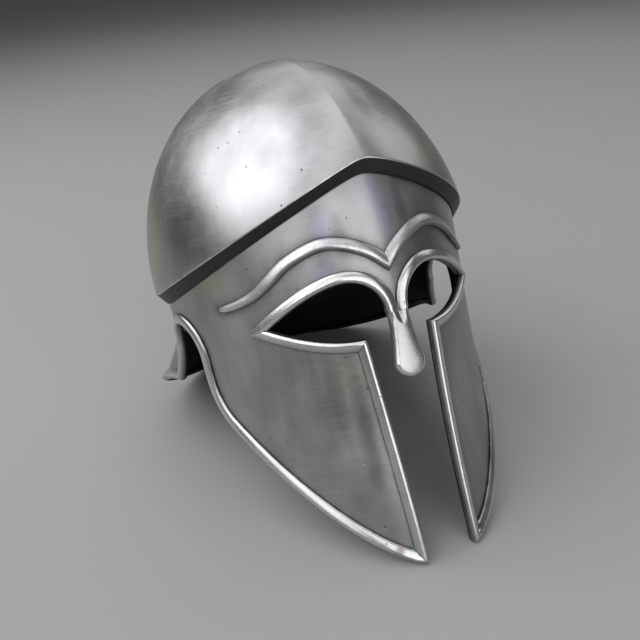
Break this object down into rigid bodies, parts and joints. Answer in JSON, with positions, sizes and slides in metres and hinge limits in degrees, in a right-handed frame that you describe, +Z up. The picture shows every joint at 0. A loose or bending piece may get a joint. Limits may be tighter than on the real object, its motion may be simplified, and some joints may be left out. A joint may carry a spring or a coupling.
{
  "type": "Italo-Corinthian helmet",
  "caption": "Burnished steel Italo-Corinthian helmet: domed skull bowl over a face shell with arched eyes, nose guard, long pointed cheeks, brow ridges and beaded edges.",
  "frame": {"origin": "bottom centre of the resting helmet's box, on the surface it stands on", "axes": "+Y from the face to the back of the head, +X to the wearer's left, +Z up"},
  "size_m": [0.2246, 0.3208, 0.2571],
  "materials": {
    "burnished_steel": "burnished sheet steel, finely brushed, with light tarnish",
    "bright_bead_steel": "polished folded strip, brighter than the sheet"
  },
  "bodies": {
    "root": {"skull_bowl": "burnished_steel", "face_shell": "burnished_steel", "nasal_guard": "bright_bead_steel", "eye_rim_right": "bright_bead_steel", "eye_rim_left": "bright_bead_steel", "front_rim_right": "bright_bead_steel", "front_rim_left": "bright_bead_steel", "lower_rim_right": "bright_bead_steel", "lower_rim_left": "bright_bead_steel", "neck_rim": "bright_bead_steel"}
  },
  "joints": []
}
